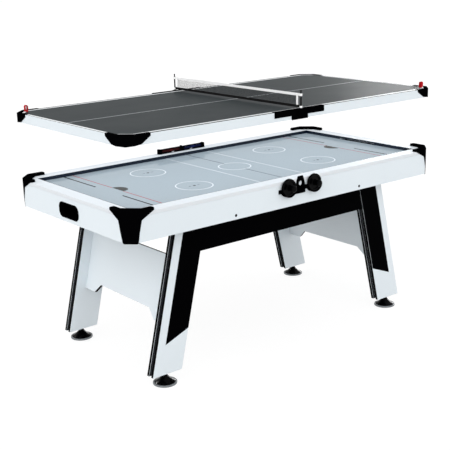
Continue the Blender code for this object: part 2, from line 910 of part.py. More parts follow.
def net_mesh():
    """The net's strands: one open cell repeated along and up, and given its thickness."""
    low = net_bottom + cord_height - strand_width
    high = net_top - tape_height + strand_width
    pitch_y = 2 * (side_tape_inner + strand_width) / net_columns
    pitch_z = (high - low) / net_rows
    border = strand_width / 2
    cell = plate([rectangle(0, 0, pitch_y, pitch_z), rectangle(border, border, pitch_y - border, pitch_z - border)], 0, 0)
    cell.transform(Matrix.Translation((0, -side_tape_inner - strand_width, low)) @ facing_x)
    guide = bpy.data.objects.new("cells", cell)
    helpers.objects.link(guide)
    for count, step in ((net_columns, (0, pitch_y, 0)), (net_rows, (0, 0, pitch_z))):
        array = guide.modifiers.new("repeat", "ARRAY")
        array.count = count
        array.use_relative_offset = False
        array.use_constant_offset = True
        array.constant_offset_displace = step
        array.use_merge_vertices = True
        array.merge_threshold = axis_merge
    solid = guide.modifiers.new("strands", "SOLIDIFY")
    solid.thickness = 2 * strand_half_thickness
    solid.offset = 0
    return meshed(guide)


def build_net():
    post = turned([
        (0, post_top),
        (post_radius / 3, post_top),
        (post_radius, post_top - post_tip),
        (post_radius, tennis_top_height - post_foot),
        (0, tennis_top_height - post_foot),
    ], arc_steps * 2)
    for side, (_, sign) in sides.items():
        add(f"net_post_{side}", post, black_plastic, at=(0, sign * post_y, 0))
    half = tape_half_thickness
    changes = [
        ("UNION", box((-half, -post_y, net_top - tape_height), (half, post_y, net_top))),
        ("UNION", box((-half, -post_y, net_bottom), (half, post_y, net_bottom + cord_height))),
    ]
    for sign in (-1, 1):
        low_y, high_y = sorted((sign * side_tape_inner, sign * side_tape_outer))
        changes.append(("UNION", box((-half, low_y, net_bottom), (half, high_y, net_top))))
        for low, high in ((net_top - tape_height, net_top), (net_bottom, net_bottom + 2 * cord_height)):
            radius = post_radius + clear + sleeve_wall
            changes.append(("UNION", cylinder(radius, low, high, arc_steps * 2, 0, sign * post_y)))
    for sign in (-1, 1):
        bore = cylinder(post_radius + clear, net_bottom - clear, net_top + clear, arc_steps * 2, 0, sign * post_y)
        changes.append(("DIFFERENCE", bore))
    add("net", combined(net_mesh(), *changes), net_black)


def build_pull_loops():
    half = loop_depth / 2
    low = tennis_top_height + clear

    def stadium(inset):
        radius = half - inset
        top = arc((0, low + loop_height - half), radius, 0, math.pi)
        bottom = arc((0, low + half), radius, math.pi, 2 * math.pi)
        return top + bottom

    for place, frame in (("back_left", facing_y), ("front_right", facing_x)):
        side_x, side_y = corners[place]
        middle_x = side_x * (face_x - corner_cut / 2 - loop_inset)
        middle_y = side_y * (face_y - corner_cut / 2 - loop_inset)
        strap = plate([stadium(0), stadium(loop_strap)], -loop_width / 2, loop_width / 2, frame)
        add(f"pull_loop_{place}", strap, red_fabric, at=(middle_x, middle_y, 0))


build_aprons()
build_rails()
build_corner_caps()
build_playfield()
build_puck_trays()
build_blower()
build_legs()
build_end_panels()
build_levelers()
build_rack()
build_strikers()
build_scorer()
build_tennis_top()
build_mid_brackets()
build_net()
build_pull_loops()
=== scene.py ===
"""Multi game table, dressed: an air hockey table with a lift-on table tennis top raised above it.

Metres, +Z up. Pieces are drawn about the table's own middle and then moved along Y with it.
"""

import math

import bpy
from mathutils import Matrix, Vector


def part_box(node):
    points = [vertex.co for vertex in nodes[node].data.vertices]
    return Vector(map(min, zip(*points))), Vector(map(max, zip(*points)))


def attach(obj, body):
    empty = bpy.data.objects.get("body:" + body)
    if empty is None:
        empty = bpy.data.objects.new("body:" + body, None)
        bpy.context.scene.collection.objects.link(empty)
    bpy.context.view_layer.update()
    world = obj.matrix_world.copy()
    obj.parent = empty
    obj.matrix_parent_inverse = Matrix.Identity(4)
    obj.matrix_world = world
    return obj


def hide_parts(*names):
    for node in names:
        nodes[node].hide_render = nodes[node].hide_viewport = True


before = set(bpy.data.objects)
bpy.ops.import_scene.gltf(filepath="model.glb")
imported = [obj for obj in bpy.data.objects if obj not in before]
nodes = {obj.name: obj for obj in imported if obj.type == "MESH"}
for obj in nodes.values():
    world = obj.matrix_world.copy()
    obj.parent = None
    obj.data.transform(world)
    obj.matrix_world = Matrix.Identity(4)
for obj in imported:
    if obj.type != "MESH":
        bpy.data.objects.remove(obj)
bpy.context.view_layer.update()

scene = bpy.context.scene
scene.view_settings.view_transform = "Standard"

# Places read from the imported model
liner_low, liner_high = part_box("rail_liner")
shift = (liner_low.y + liner_high.y) / 2
apron_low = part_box("apron_front")[0]
face_y = shift - apron_low.y
face_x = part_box("apron_right")[1].x
apron_bottom = apron_low.z
playfield_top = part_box("playfield_board")[1].z
tennis_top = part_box("tennis_board_left")[1].z
leg_low, leg_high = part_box("leg_outer_board_front_right")
leg_face = shift - leg_low.y

# Sizes of the solids that their boxes don't give
leg_width = 0.152
leg_board = 0.015
leg_core_inset = 0.014
corner_cut = 0.053
leg_slope = ((leg_high.x - leg_low.x) - leg_width) / (leg_high.z - leg_low.z)

# How far paint and thin trim stand off the face they cover
proud = 0.00025
band_proud = 0.00018

flat = Matrix.Identity(4)
facing_y = Matrix(((1, 0, 0, 0), (0, 0, -1, 0), (0, 1, 0, 0), (0, 0, 0, 1)))
facing_x = Matrix(((0, 0, 1, 0), (1, 0, 0, 0), (0, 1, 0, 0), (0, 0, 0, 1)))
corners = {"front_left": (-1, -1), "front_right": (1, -1), "back_left": (-1, 1), "back_right": (1, 1)}
sides = {"front": -1, "back": 1}
ends = {"left": -1, "right": 1}


# Materials


def tone(red, green, blue):
    """A display colour, 0 to 255, as the light that shows it."""
    def light(value):
        share = value / 255
        return share / 12.92 if share <= 0.04045 else ((share + 0.055) / 1.055) ** 2.4
    return (light(red), light(green), light(blue), 1)


def scaled(colour, factor):
    return tuple(min(1, channel * factor) for channel in colour[:3]) + (1,)


def maths(tree, operation, first, second):
    node = tree.nodes.new("ShaderNodeMath")
    node.operation = operation
    tree.links.new(first, node.inputs[0])
    tree.links.new(second, node.inputs[1])
    return node.outputs[0]


def stretched(tree, noise, low, high):
    """A noise, which lies mostly between 0.3 and 0.7, as a value between low and high."""
    node = tree.nodes.new("ShaderNodeMapRange")
    node.inputs["From Min"].default_value = 0.3
    node.inputs["From Max"].default_value = 0.7
    node.inputs["To Min"].default_value = low
    node.inputs["To Max"].default_value = high
    tree.links.new(noise, node.inputs["Value"])
    return node.outputs["Result"]


def bumped(tree, height, strength, distance):
    """The surface raised by a height."""
    bump = tree.nodes.new("ShaderNodeBump")
    bump.inputs["Strength"].default_value = strength
    bump.inputs["Distance"].default_value = distance
    tree.links.new(height, bump.inputs["Height"])
    tree.links.new(bump.outputs["Normal"], tree.nodes["Principled BSDF"].inputs["Normal"])


def surface(
    name, colour, roughness, specular=0.5, metallic=0.0, coat=0.0, coat_roughness=0.05,
    mottle=0.02, mottle_scale=5.0, grain="NOISE", grain_scale=900.0, grain_depth=0.00002, speckle=0.02,
    stretch=(1, 1, 1), spread=0.12, sheen=0.0,
):
    """A material whose colour, roughness and grain vary over the surface."""
    material = bpy.data.materials.new(name)
    material.use_nodes = True
    tree = material.node_tree
    shader = tree.nodes["Principled BSDF"]
    shader.inputs["Specular IOR Level"].default_value = specular
    shader.inputs["Metallic"].default_value = metallic
    shader.inputs["Coat Weight"].default_value = coat
    shader.inputs["Coat Roughness"].default_value = coat_roughness
    shader.inputs["Sheen Weight"].default_value = sheen
    coords = tree.nodes.new("ShaderNodeTexCoord")
    mapping = tree.nodes.new("ShaderNodeMapping")
    mapping.inputs["Scale"].default_value = stretch
    tree.links.new(coords.outputs["Object"], mapping.inputs["Vector"])
    broad = tree.nodes.new("ShaderNodeTexNoise")
    broad.inputs["Scale"].default_value = mottle_scale
    broad.inputs["Detail"].default_value = 3
    tree.links.new(mapping.outputs["Vector"], broad.inputs["Vector"])
    if grain == "VORONOI":
        fine = tree.nodes.new("ShaderNodeTexVoronoi")
        fine.inputs["Scale"].default_value = grain_scale
        height = fine.outputs["Distance"]
    else:
        fine = tree.nodes.new("ShaderNodeTexNoise")
        fine.inputs["Scale"].default_value = grain_scale
        fine.inputs["Detail"].default_value = 2
        height = fine.outputs["Fac"]
    tree.links.new(mapping.outputs["Vector"], fine.inputs["Vector"])
    shades = tree.nodes.new("ShaderNodeMix")
    shades.data_type = "RGBA"
    shades.inputs["A"].default_value = scaled(colour, 1 - mottle)
    shades.inputs["B"].default_value = scaled(colour, 1 + mottle)
    tree.links.new(broad.outputs["Fac"], shades.inputs["Factor"])
    dots = tree.nodes.new("ShaderNodeMix")
    dots.data_type = "RGBA"
    dots.blend_type = "MULTIPLY"
    dots.inputs["Factor"].default_value = 1
    tree.links.new(shades.outputs["Result"], dots.inputs["A"])
    tree.links.new(stretched(tree, height, 1 - speckle, 1 + speckle), dots.inputs["B"])
    tree.links.new(dots.outputs["Result"], shader.inputs["Base Color"])
    gloss = stretched(tree, broad.outputs["Fac"], roughness * (1 - spread), roughness * (1 + spread))
    tree.links.new(gloss, shader.inputs["Roughness"])
    bumped(tree, height, 0.5, grain_depth)
    return material


def woven(name, colour, roughness, pitch, sheen=0.3):
    """Tape or webbing: ribs raised along each axis at a pitch, over a mottled colour."""
    material = surface(
        name, colour, roughness, specular=0.2, mottle=0.06, mottle_scale=60, grain_scale=2500, sheen=sheen,
    )
    tree = material.node_tree
    coords = next(node for node in tree.nodes if node.type == "TEX_COORD")
    wave_length = 2 * math.pi / 20  # of a wave texture at scale 1
    ribs = []
    for direction in ("X", "Y", "Z"):
        wave = tree.nodes.new("ShaderNodeTexWave")
        wave.bands_direction = direction
        wave.inputs["Scale"].default_value = wave_length / pitch
        wave.inputs["Distortion"].default_value = 0.3
        tree.links.new(coords.outputs["Object"], wave.inputs["Vector"])
        ribs.append(wave.outputs["Fac"])
    both = maths(tree, "ADD", ribs[0], ribs[1])
    bumped(tree, maths(tree, "ADD", both, ribs[2]), 0.7, 0.00025)
    return material


def brushed(name, colour):
    """Metal drawn round its own upright axis."""
    return surface(
        name, colour, 0.32, metallic=1.0, mottle=0.05, grain_scale=260, grain_depth=0.00002, speckle=0.05,
        stretch=(1, 1, 14), spread=0.2,
    )


laminate = surface(
    "white_laminate", tone(230, 238, 243), 0.42, specular=0.25, grain_scale=1400, grain_depth=0.000015,
)
# A copy of the white laminate for the rails, its tone a little darker and less blue for how light falls on the
# rail tops: painted shade
shaded_rail_laminate = surface(
    "shaded_rail_laminate", tone(228, 232, 236), 0.42, specular=0.02, grain_scale=1400, grain_depth=0.000012,
)
raw_board = surface(
    "raw_board", tone(150, 152, 154), 0.75, specular=0.2, mottle=0.10, grain_scale=450, speckle=0.12,
    grain_depth=0.00006,
)
black_laminate = surface("black_laminate", tone(2, 2, 3), 0.50, specular=0.004, grain_scale=1200)
edge_band = surface("black_edge_band", tone(2, 2, 3), 0.50, specular=0.01, grain_scale=1500)
# Dark grey for the sheets in the gap between a leg's boards: painted shade
painted_channel_shade = surface("painted_channel_shade", tone(58, 60, 64), 0.70, specular=0.0, grain_scale=900)
black_plastic = surface(
    "black_plastic", tone(3, 3, 4), 0.75, specular=0.0, grain="VORONOI", grain_scale=900, grain_depth=0.00005,
    speckle=0.0,
)
gloss_plastic = surface("gloss_plastic", tone(2, 2, 3), 0.15, specular=0.05, grain_scale=500, grain_depth=0.000006)
foot_rim = surface("foot_rim", tone(120, 124, 128), 0.45, specular=0.4, grain_scale=800)
navy_trim = surface("navy_trim", tone(8, 22, 40), 0.25, specular=0.35, grain_scale=800, grain_depth=0.00001)
rink_gloss = surface(
    "rink_gloss", tone(162, 174, 182), 0.22, specular=0.0, coat=0.35, coat_roughness=0.04, mottle=0.015,
    grain_scale=600, grain_depth=0.000004, speckle=0.006,
)
tennis_paint = surface(
    "tennis_paint", tone(36, 44, 47), 0.48, specular=0.04, mottle=0.02, grain_scale=1600, grain_depth=0.00002,
    speckle=0.04, spread=0.03,
)
lacquer = {"coat": 0.35, "coat_roughness": 0.04, "specular": 0.0, "grain_scale": 600, "grain_depth": 0.000004}
rink_white = surface("rink_white", tone(226, 232, 236), 0.22, **lacquer)
rink_dark = surface("rink_dark", tone(8, 10, 14), 0.22, **lacquer)
rink_red = surface("rink_red", tone(176, 40, 44), 0.22, **lacquer)
rink_grey = surface("rink_grey", tone(48, 50, 48), 0.22, **lacquer)
paint = {"specular": 0.3, "grain_scale": 1500, "grain_depth": 0.00001}
white_paint = surface("white_paint", tone(240, 244, 246), 0.40, **paint)
grey_paint = surface("grey_paint", tone(168, 174, 178), 0.40, **paint)
# Dark grey for the air-hole dots: painted shade of the holes
hole_painted_shade = surface("hole_painted_shade", tone(40, 44, 50), 0.90, specular=0.0, grain_scale=900)
grey_plastic = surface(
    "grey_plastic", tone(168, 170, 172), 0.45, grain="VORONOI", grain_scale=900, speckle=0.0, grain_depth=0.00003,
)
screw_black = surface("screw_black", tone(4, 4, 5), 0.35, specular=0.03, grain_scale=1200)
red_lens = surface("red_lens", tone(40, 3, 4), 0.12, specular=0.12, grain_scale=600, grain_depth=0.000004)
blue_lens = surface("blue_lens", tone(4, 10, 46), 0.12, specular=0.12, grain_scale=600, grain_depth=0.000004)
red_digit = surface("red_digit", tone(110, 16, 14), 0.3, specular=0.2, grain_scale=900, grain_depth=0.000004)
blue_digit = surface("blue_digit", tone(24, 48, 118), 0.3, specular=0.2, grain_scale=900, grain_depth=0.000004)
motor_steel = brushed("motor_steel", tone(196, 197, 199))
white_tape = woven("white_tape", tone(253, 254, 254), 0.8, 0.00011)
black_tape = woven("black_tape", tone(5, 5, 6), 0.85, 0.00011, sheen=0.0)
net_yarn = surface(
    "net_yarn", tone(22, 22, 24), 0.9, specular=0.1, mottle=0.1, grain_scale=3000, grain_depth=0.0001,
)
red_webbing = woven("red_webbing", tone(186, 10, 26), 0.85, 0.00012, sheen=0.0)

finishes = {
    "apron": laminate,
    "rail_liner": navy_trim,
    "rail": shaded_rail_laminate,
    "corner_cap": black_plastic,
    "playfield_board": rink_gloss,
    "air_box_frame": raw_board,
    "bottom_board": raw_board,
    "puck_tray": black_plastic,
    "blower_housing": black_plastic,
    "blower_motor": motor_steel,
    "blower_impeller": grey_plastic,
    "leg": laminate,
    "long_skirt": black_laminate,
    "end_panel": laminate,
    "leveler": gloss_plastic,
    "striker_rack": black_plastic,
    "striker": gloss_plastic,
    "scorer_housing": black_plastic,
    "score_display_left": red_lens,
    "score_display_right": blue_lens,
    "scorer_button": grey_plastic,
    "tennis_board": tennis_paint,
    "tennis_frame": laminate,
    "tennis_cap": black_plastic,
    "mid_bracket": black_plastic,
    "net_post": black_plastic,
    "net": net_yarn,
    "pull_loop": red_webbing,
}
# Widths of the rounded edges
softness = {
    "apron": 0.0009,
    "rail_liner": 0.0004,
    "rail": 0.0012,
    "corner_cap": 0.0014,
    "leg": 0.0008,
    "long_skirt": 0.0007,
    "end_panel": 0.0008,
    "tennis_frame": 0.0012,
    "tennis_cap": 0.0012,
    "mid_bracket": 0.0008,
    "scorer_housing": 0.0007,
    "puck_tray": 0.0007,
    "striker_rack": 0.0007,
    "score_display": 0.0003,
    "scorer_button": 0.0006,
}


def chosen(table, name):
    """The entry of the longest prefix that a node's name starts with."""
    found = [prefix for prefix in table if name.startswith(prefix)]
    return table[max(found, key=len)] if found else None


def eased(obj, width, angle=30):
    """Edges sharper than an angle rounded by a width."""
    edges = obj.modifiers.new("edges", "BEVEL")
    edges.width = width
    edges.segments = 2
    edges.limit_method = "ANGLE"
    edges.angle_limit = math.radians(angle)


for name, node in nodes.items():
    if not node.material_slots:
        continue
    for slot in node.material_slots:
        slot.link = "OBJECT"
        slot.material = chosen(finishes, name)
    width = chosen(softness, name)
    if not width:
        continue
    weld = node.modifiers.new("weld", "WELD")
    weld.merge_threshold = 0.00001
    plain = node.modifiers.new("plain", "DECIMATE")
    plain.decimate_type = "DISSOLVE"
    plain.angle_limit = math.radians(0.3)
    eased(node, width, 38)


# Shapes


def added(name, mesh, material, body, smooth=None):
    """A piece from its mesh, drawn about the table's middle, that rides on a body."""
    mesh.materials.append(material)
    if smooth:
        mesh.shade_smooth()
        mesh.set_sharp_from_angle(angle=math.radians(smooth))
    obj = bpy.data.objects.new(name, mesh)
    scene.collection.objects.link(obj)
    obj.location = (0, shift, 0)
    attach(obj, body)
    return obj


def plate(outlines, low, high, turn=flat):
    """Closed outlines filled and extruded from low to high along the turned third axis."""
    curve = bpy.data.curves.new("outline", "CURVE")
    curve.dimensions = "2D"
    curve.fill_mode = "BOTH"
    curve.extrude = (high - low) / 2
    for outline in outlines:
        spline = curve.splines.new("POLY")
        spline.points.add(len(outline) - 1)
        spline.use_cyclic_u = True
        for point, (x, y) in zip(spline.points, outline):
            point.co = (x, y, 0, 1)
    guide = bpy.data.objects.new("outline", curve)
    scene.collection.objects.link(guide)
    bpy.context.view_layer.update()
    mesh = bpy.data.meshes.new_from_object(guide.evaluated_get(bpy.context.evaluated_depsgraph_get()))
    bpy.data.objects.remove(guide)
    mesh.transform(turn @ Matrix.Translation((0, 0, (low + high) / 2)))
    mesh.materials.clear()
    return mesh


def joined(meshes):
    """Several meshes as one."""
    points, faces = [], []
    for mesh in meshes:
        start = len(points)
        points += [vertex.co.copy() for vertex in mesh.vertices]
        faces += [[start + i for i in face.vertices] for face in mesh.polygons]
    whole = bpy.data.meshes.new("joined")
    whole.from_pydata(points, [], faces)
    return whole


def boxes(corner_pairs):
    """One mesh of many boxes, each from its lowest and highest corner."""
    points, faces = [], []
    for low, high in corner_pairs:
        start = len(points)
        points += [(x, y, z) for z in (low[2], high[2]) for y in (low[1], high[1]) for x in (low[0], high[0])]
        faces += [
            [start + i for i in face]
            for face in ((0, 2, 3, 1), (4, 5, 7, 6), (0, 1, 5, 4), (2, 6, 7, 3), (0, 4, 6, 2), (1, 3, 7, 5))
        ]
    mesh = bpy.data.meshes.new("boxes")
    mesh.from_pydata(points, [], faces)
    return mesh


def lathe(profile, steps=96):
    """A profile of (radius, height) points, from the bottom up, turned about Z."""
    points = []
    rings = []
    for radius, height in profile:
        if radius == 0:
            rings.append([len(points)])
            points.append((0, 0, height))
            continue
        rings.append(range(len(points), len(points) + steps))
        points += [
            (radius * math.cos(2 * math.pi * i / steps), radius * math.sin(2 * math.pi * i / steps), height)
            for i in range(steps)
        ]
    faces = []
    for lower, upper in zip(rings, rings[1:]):
        for i in range(steps):
            j = i + 1
            face = [lower[i % len(lower)], lower[j % len(lower)], upper[j % len(upper)], upper[i % len(upper)]]
            faces.append(list(dict.fromkeys(face)))
    mesh = bpy.data.meshes.new("lathe")
    mesh.from_pydata(points, [], faces)
    return mesh


def arc(centre, radius, start, end, steps=12):
    """Points round a centre, from one angle in degrees to another."""
    return [
        (
            centre[0] + radius * math.cos(math.radians(start + (end - start) * i / steps)),
            centre[1] + radius * math.sin(math.radians(start + (end - start) * i / steps)),
        )
        for i in range(steps + 1)
    ]


def circle(centre, radius, steps=64):
    return arc(centre, radius, 0, 360 * (1 - 1 / steps), steps - 1)


def rectangle(x0, y0, x1, y1):
    return [(x0, y0), (x1, y0), (x1, y1), (x0, y1)]


def chamfered(half_x, half_y, cut):
    """A rectangle with its four corners cut at 45 degrees."""
    quarter = [(half_x, half_y - cut), (half_x - cut, half_y)]
    left = [(-x, y) for x, y in reversed(quarter)]
    return quarter + left + [(-x, -y) for x, y in quarter] + [(-x, -y) for x, y in left]


# Markings of the rink

rink_low = playfield_top + proud / 2
rink_high = playfield_top + proud
liner_wall = 0.004
well_y = liner_high.y - shift - liner_wall
ring_x, ring_y, ring_radius, ring_line = 0.380, 0.180, 0.083, 0.0050
centre_radius = 0.078
cross_x, cross_half = 0.130, 0.0023
middle_half = 0.0018
dark_x, dark_half, dark_start = 0.710, 0.0042, 0.110
crease_x, crease_radius, crease_line, crease_gap = 0.665, 0.0460, 0.0050, 0.0005
red_half = 0.0020
spot_radius = 0.0065
dash_middle, dash_long, dash_half = 0.024, 0.006, 0.0013


def rink_marks(name, outline_groups, material):
    meshes = [plate(group, rink_low, rink_high) for group in outline_groups]
    return added(name, joined(meshes), material, "table")


def ring(x, y, radius, line):
    return [circle((x, y), radius + line / 2), circle((x, y), radius - line / 2)]


def cross_bar(x, half, start):
    """A bar across each side of the rink, from a distance off its middle to the liner."""
    return [[rectangle(x - half, y0, x + half, y1)] for y0, y1 in ((-well_y, -start), (start, well_y))]


def half_circle(end, radius):
    """A half circle that bulges from a goal's red line to the rink's middle."""
    return [
        (end * crease_x - end * radius * math.cos(math.radians(a)), radius * math.sin(math.radians(a)))
        for a in range(-90, 91, 6)
    ]


spot_places = [(sx * ring_x, sy * ring_y) for sx in (-1, 1) for sy in (-1, 1)]
rings = [ring(x, y, ring_radius, ring_line) for x, y in spot_places]
rings.append(ring(0, 0, centre_radius, ring_line))
cross_lines = [[rectangle(x - cross_half, -well_y, x + cross_half, well_y)] for x in (-cross_x, cross_x)]
rink_marks("rink_white_lines", rings + cross_lines, rink_white)
darks = cross_bar(0, middle_half, centre_radius)
for x, y in spot_places:
    darks.append([circle((x, y), spot_radius, 32)])
    for middle in (x - dash_middle, x + dash_middle):
        darks.append([rectangle(middle - dash_long, y - dash_half, middle + dash_long, y + dash_half)])
reds = []
creases = []
for end in (-1, 1):
    darks += cross_bar(end * dark_x, dark_half, dark_start)
    reds += cross_bar(end * crease_x, red_half, crease_radius)
    inner_radius = crease_radius - crease_line
    creases.append([half_circle(end, crease_radius) + half_circle(end, inner_radius)[::-1]])
    creases.append([half_circle(end, inner_radius - crease_gap)])
rink_marks("rink_dark_lines", darks, rink_dark)
rink_marks("rink_red_lines", reds, rink_red)
rink_marks("rink_creases", creases, rink_grey)

# The air holes as flat dark dots on the rink: their darkness is painted shade of the holes' insides
hole_pitch, hole_radius, hole_sides = 0.025, 0.0007, 6
hole_columns, hole_rows = 32, 14
hole_points, hole_faces = [], []
for column in range(-hole_columns, hole_columns + 1):
    for row in range(-hole_rows, hole_rows + 1):
        start = len(hole_points)
        around_hole = circle((column * hole_pitch, row * hole_pitch), hole_radius, hole_sides)
        hole_points += [(x, y, rink_high + proud / 4) for x, y in around_hole]
        hole_faces.append(list(range(start, start + hole_sides)))
hole_mesh = bpy.data.meshes.new("air_holes")
hole_mesh.from_pydata(hole_points, [], hole_faces)
added("rink_air_holes", hole_mesh, hole_painted_shade, "table")


# Lines of the tennis top

line_low, line_high = tennis_top + proud / 2, tennis_top + proud
# Each outline by its gaps from the top's ends, long sides and corner cuts
border_outer, border_inner = (0.0055, 0.0165, 0.0165), (0.0185, 0.0320, 0.0320)
backing_edge = (0.0130, 0.0130, 0.0130)
rim_outer, rim_inner = (0.0012, 0.0012, 0.0040), (0.0052, 0.0052, 0.0070)
middle_line_half, joint_half = 0.0030, 0.0006
rim_paint_half = 0.0001


def inside_top(end_gap, side_gap, corner_gap):
    """The top's outline drawn in by a gap at its ends, at its long sides and at its corner cuts."""
    half_x, half_y = face_x - end_gap, face_y - side_gap
    cut = half_x + half_y - (face_x + face_y - corner_cut - corner_gap * math.sqrt(2))
    return chamfered(half_x, half_y, cut)


border = [inside_top(*border_outer), inside_top(*border_inner)]
added("tennis_border_line", plate(border, line_low, line_high), white_paint, "tennis_top")
middle_end = face_x - border_inner[0]
middle = rectangle(-middle_end, -middle_line_half, middle_end, middle_line_half)
added("tennis_middle_line", plate([middle], line_low, line_high), grey_paint, "tennis_top")
board_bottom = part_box("tennis_board_left")[0].z
for side, sign in ends.items():
    half = [(sign * max(joint_half, x * sign), y) for x, y in inside_top(*backing_edge)]
    half = [point for i, point in enumerate(half) if point != half[i - 1]]
    backing = plate([half], board_bottom - proud, board_bottom - proud / 2)
    added(f"tennis_backing_{side}", backing, laminate, "tennis_top")
cover_outlines = [inside_top(*rim_outer), inside_top(*rim_inner)]
cover = plate(cover_outlines, tennis_top - rim_paint_half, tennis_top + rim_paint_half)
added("tennis_rim_cover", cover, tennis_paint, "tennis_top")


# Leg panels, edge bands, and dark grey sheets in the gap between a leg's boards: painted shade of the gap


def leg_outer(z):
    return leg_low.x + leg_width + leg_slope * (leg_high.z - z)


def mirrored(mesh, sx, sy):
    """The mesh flipped to its side, with its faces turned outwards again."""
    mesh.transform(Matrix.Diagonal((sx, sy, 1, 1)))
    if sx * sy < 0:
        mesh.flip_normals()
    return mesh


panel_strip = 0.040
panel_tip, panel_inner = 0.182, 0.229
leg_bottom, leg_end = leg_low.z + 0.001, apron_bottom - 0.0004
edge_gap, band_margin = 0.0006, 0.0008
lean = math.hypot(1, leg_slope)
panel = [
    (leg_outer(apron_bottom) - panel_strip, leg_end),
    (leg_outer(apron_bottom) - leg_width + edge_gap, leg_end),
    (leg_outer(panel_inner) - leg_width + edge_gap, panel_inner),
    (leg_outer(panel_tip) - panel_strip, panel_tip),
]


def leaning(near, far):
    """A strip down the leg between two distances in from its outer edge."""
    return [
        (leg_outer(z) - edge, z)
        for z, edge in ((leg_bottom, near), (leg_bottom, far), (leg_end, far), (leg_end, near))
    ]


for place, (sx, sy) in corners.items():
    mesh = plate([panel], -(leg_face + proud), -(leg_face + proud / 2), facing_y)
    added(f"leg_panel_{place}", mirrored(mesh, sx, sy), black_laminate, "table")
    bands = []
    for board_face in (leg_face, leg_face - 2 * leg_board):
        low, high = -(board_face - band_margin), -(board_face - leg_board + band_margin)
        for edge, out in ((0, -band_proud * lean), (leg_width, band_proud * lean)):
            bands.append(plate([leaning(edge, edge + out)], low, high, facing_y))
    added(f"leg_edge_bands_{place}", mirrored(joined(bands), sx, sy), edge_band, "table")
    # Dark grey sheets over the faces inside the gap between the boards: painted shade of the gap
    channel_shade_sheets = []
    inner_face, outer_face = -(leg_face - 2 * leg_board), -(leg_face - leg_board)
    for near, far, out in (
        (edge_gap, leg_core_inset, -proud * lean),
        (leg_width - edge_gap, leg_width - leg_core_inset, proud * lean),
    ):
        channel_shade_sheets.append(plate([leaning(near, far)], inner_face - proud, inner_face - proud / 2, facing_y))
        channel_shade_sheets.append(plate([leaning(near, far)], outer_face + proud / 2, outer_face + proud, facing_y))
        channel_shade_sheets.append(plate([leaning(far, far + out)], outer_face + edge_gap, inner_face - edge_gap, facing_y))
    mesh = mirrored(joined(channel_shade_sheets), sx, sy)
    added(f"leg_channel_painted_shade_{place}", mesh, painted_channel_shade, "table")


panel_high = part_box("end_panel_right")[1]
panel_set_in, panel_board, panel_margin = 0.053, 0.015, 0.0007
panel_drop, arch_drop = 0.288, 0.245
arch_foot, arch_head = leg_face - 0.127, leg_face - 0.172
tilt = math.atan(leg_slope)
hinge_x = leg_outer(panel_high.z) - panel_set_in
half_span = panel_high.y - shift
panel_outline = [
    (half_span, 0),
    (half_span, -panel_drop * lean),
    (arch_foot, -panel_drop * lean),
    (arch_head, -arch_drop * lean),
]
panel_outline += [(-y, z) for y, z in reversed(panel_outline)]
for side, sign in ends.items():
    bands = []
    for (y0, z0), (y1, z1) in zip(panel_outline, panel_outline[1:] + panel_outline[:1]):
        if y0 == y1:
            continue
        out = Vector((z0 - z1, y1 - y0)).normalized() * band_proud
        strip = [(y0, z0), (y1, z1), (y1 + out.x, z1 + out.y), (y0 + out.x, z0 + out.y)]
        bands.append(plate([strip], panel_margin - panel_board, -panel_margin, facing_x))
    mesh = joined(bands)
    mesh.transform(Matrix.Translation((hinge_x, 0, panel_high.z)) @ Matrix.Rotation(-tilt, 4, "Y"))
    added(f"end_panel_bands_{side}", mirrored(mesh, sign, 1), edge_band, "table")


# Screw heads on the long aprons


def dome(radius, height, at, turn):
    """A flat round head that bulges along the turned Z axis."""
    profile = [(0, height)] + [
        (radius * math.sin(math.radians(a)), height * math.cos(math.radians(a))) for a in range(12, 91, 13)
    ] + [(radius, 0), (0, 0)]
    mesh = lathe(profile[::-1], 32)
    mesh.transform(Matrix.Translation(at) @ turn)
    return mesh


toward = {"front": Matrix.Rotation(math.pi / 2, 4, "X"), "back": Matrix.Rotation(-math.pi / 2, 4, "X")}
screw_x, screw_height = (-0.370, 0.382), 0.7040
head_radius, head_bulge = 0.0062, 0.0012
head_clear = 0.00002
for side, sign in sides.items():
    heads = [
        dome(head_radius, head_bulge, (x, sign * (face_y + head_clear), screw_height), toward[side])
        for x in screw_x
    ]
    added(f"apron_screws_{side}", joined(heads), screw_black, "table", smooth=60)


# Strikers


def fillet(centre, radius, start, end, steps=5):
    """A round between two lines of a profile."""
    return arc(centre, radius, start, end, steps)


foot_round = 0.0012
rim_top, rim_flat, rim_outer_round, rim_inner_round = 0.0122, 0.0010, 0.0040, 0.0050
floor_height, well_radius, knob_root_round = 0.0066, 0.0175, 0.0050
knob_sides = [(0.0118, 0.0180), (0.0120, 0.0240), (0.0132, 0.0300)]
knob_round_radius, knob_round, knob_crown = 0.0090, 0.0060, 0.0002
for side in ends:
    low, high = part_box(f"striker_{side}")
    radius = (high.x - low.x) / 2
    depth = high.y - low.y
    centre = ((low.x + high.x) / 2, high.y - shift, (low.z + high.z) / 2)
    rim = radius - rim_flat - rim_inner_round
    profile = [(0, 0), (radius - foot_round, 0)]
    profile += fillet((radius - foot_round, foot_round), foot_round, -90, 0)
    profile += fillet((radius - rim_outer_round, rim_top - rim_outer_round), rim_outer_round, 0, 90)
    profile += fillet((rim, rim_top - rim_inner_round), rim_inner_round, 90, 180)
    profile += [(rim - rim_inner_round, floor_height), (well_radius, floor_height)]
    profile += fillet((well_radius, floor_height + knob_root_round), knob_root_round, -90, -180)
    profile += knob_sides
    profile += fillet((knob_round_radius, depth - knob_round - knob_crown), knob_round, 0, 90, 8)
    profile += [(0, depth)]
    mesh = lathe(profile)
    mesh.transform(Matrix.Translation(centre) @ toward["front"])
    body = f"striker_{side}_body"
    piece = added(f"striker_turned_{side}", mesh, gloss_plastic, body, smooth=35)
    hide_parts(f"striker_{side}")


# Levelers


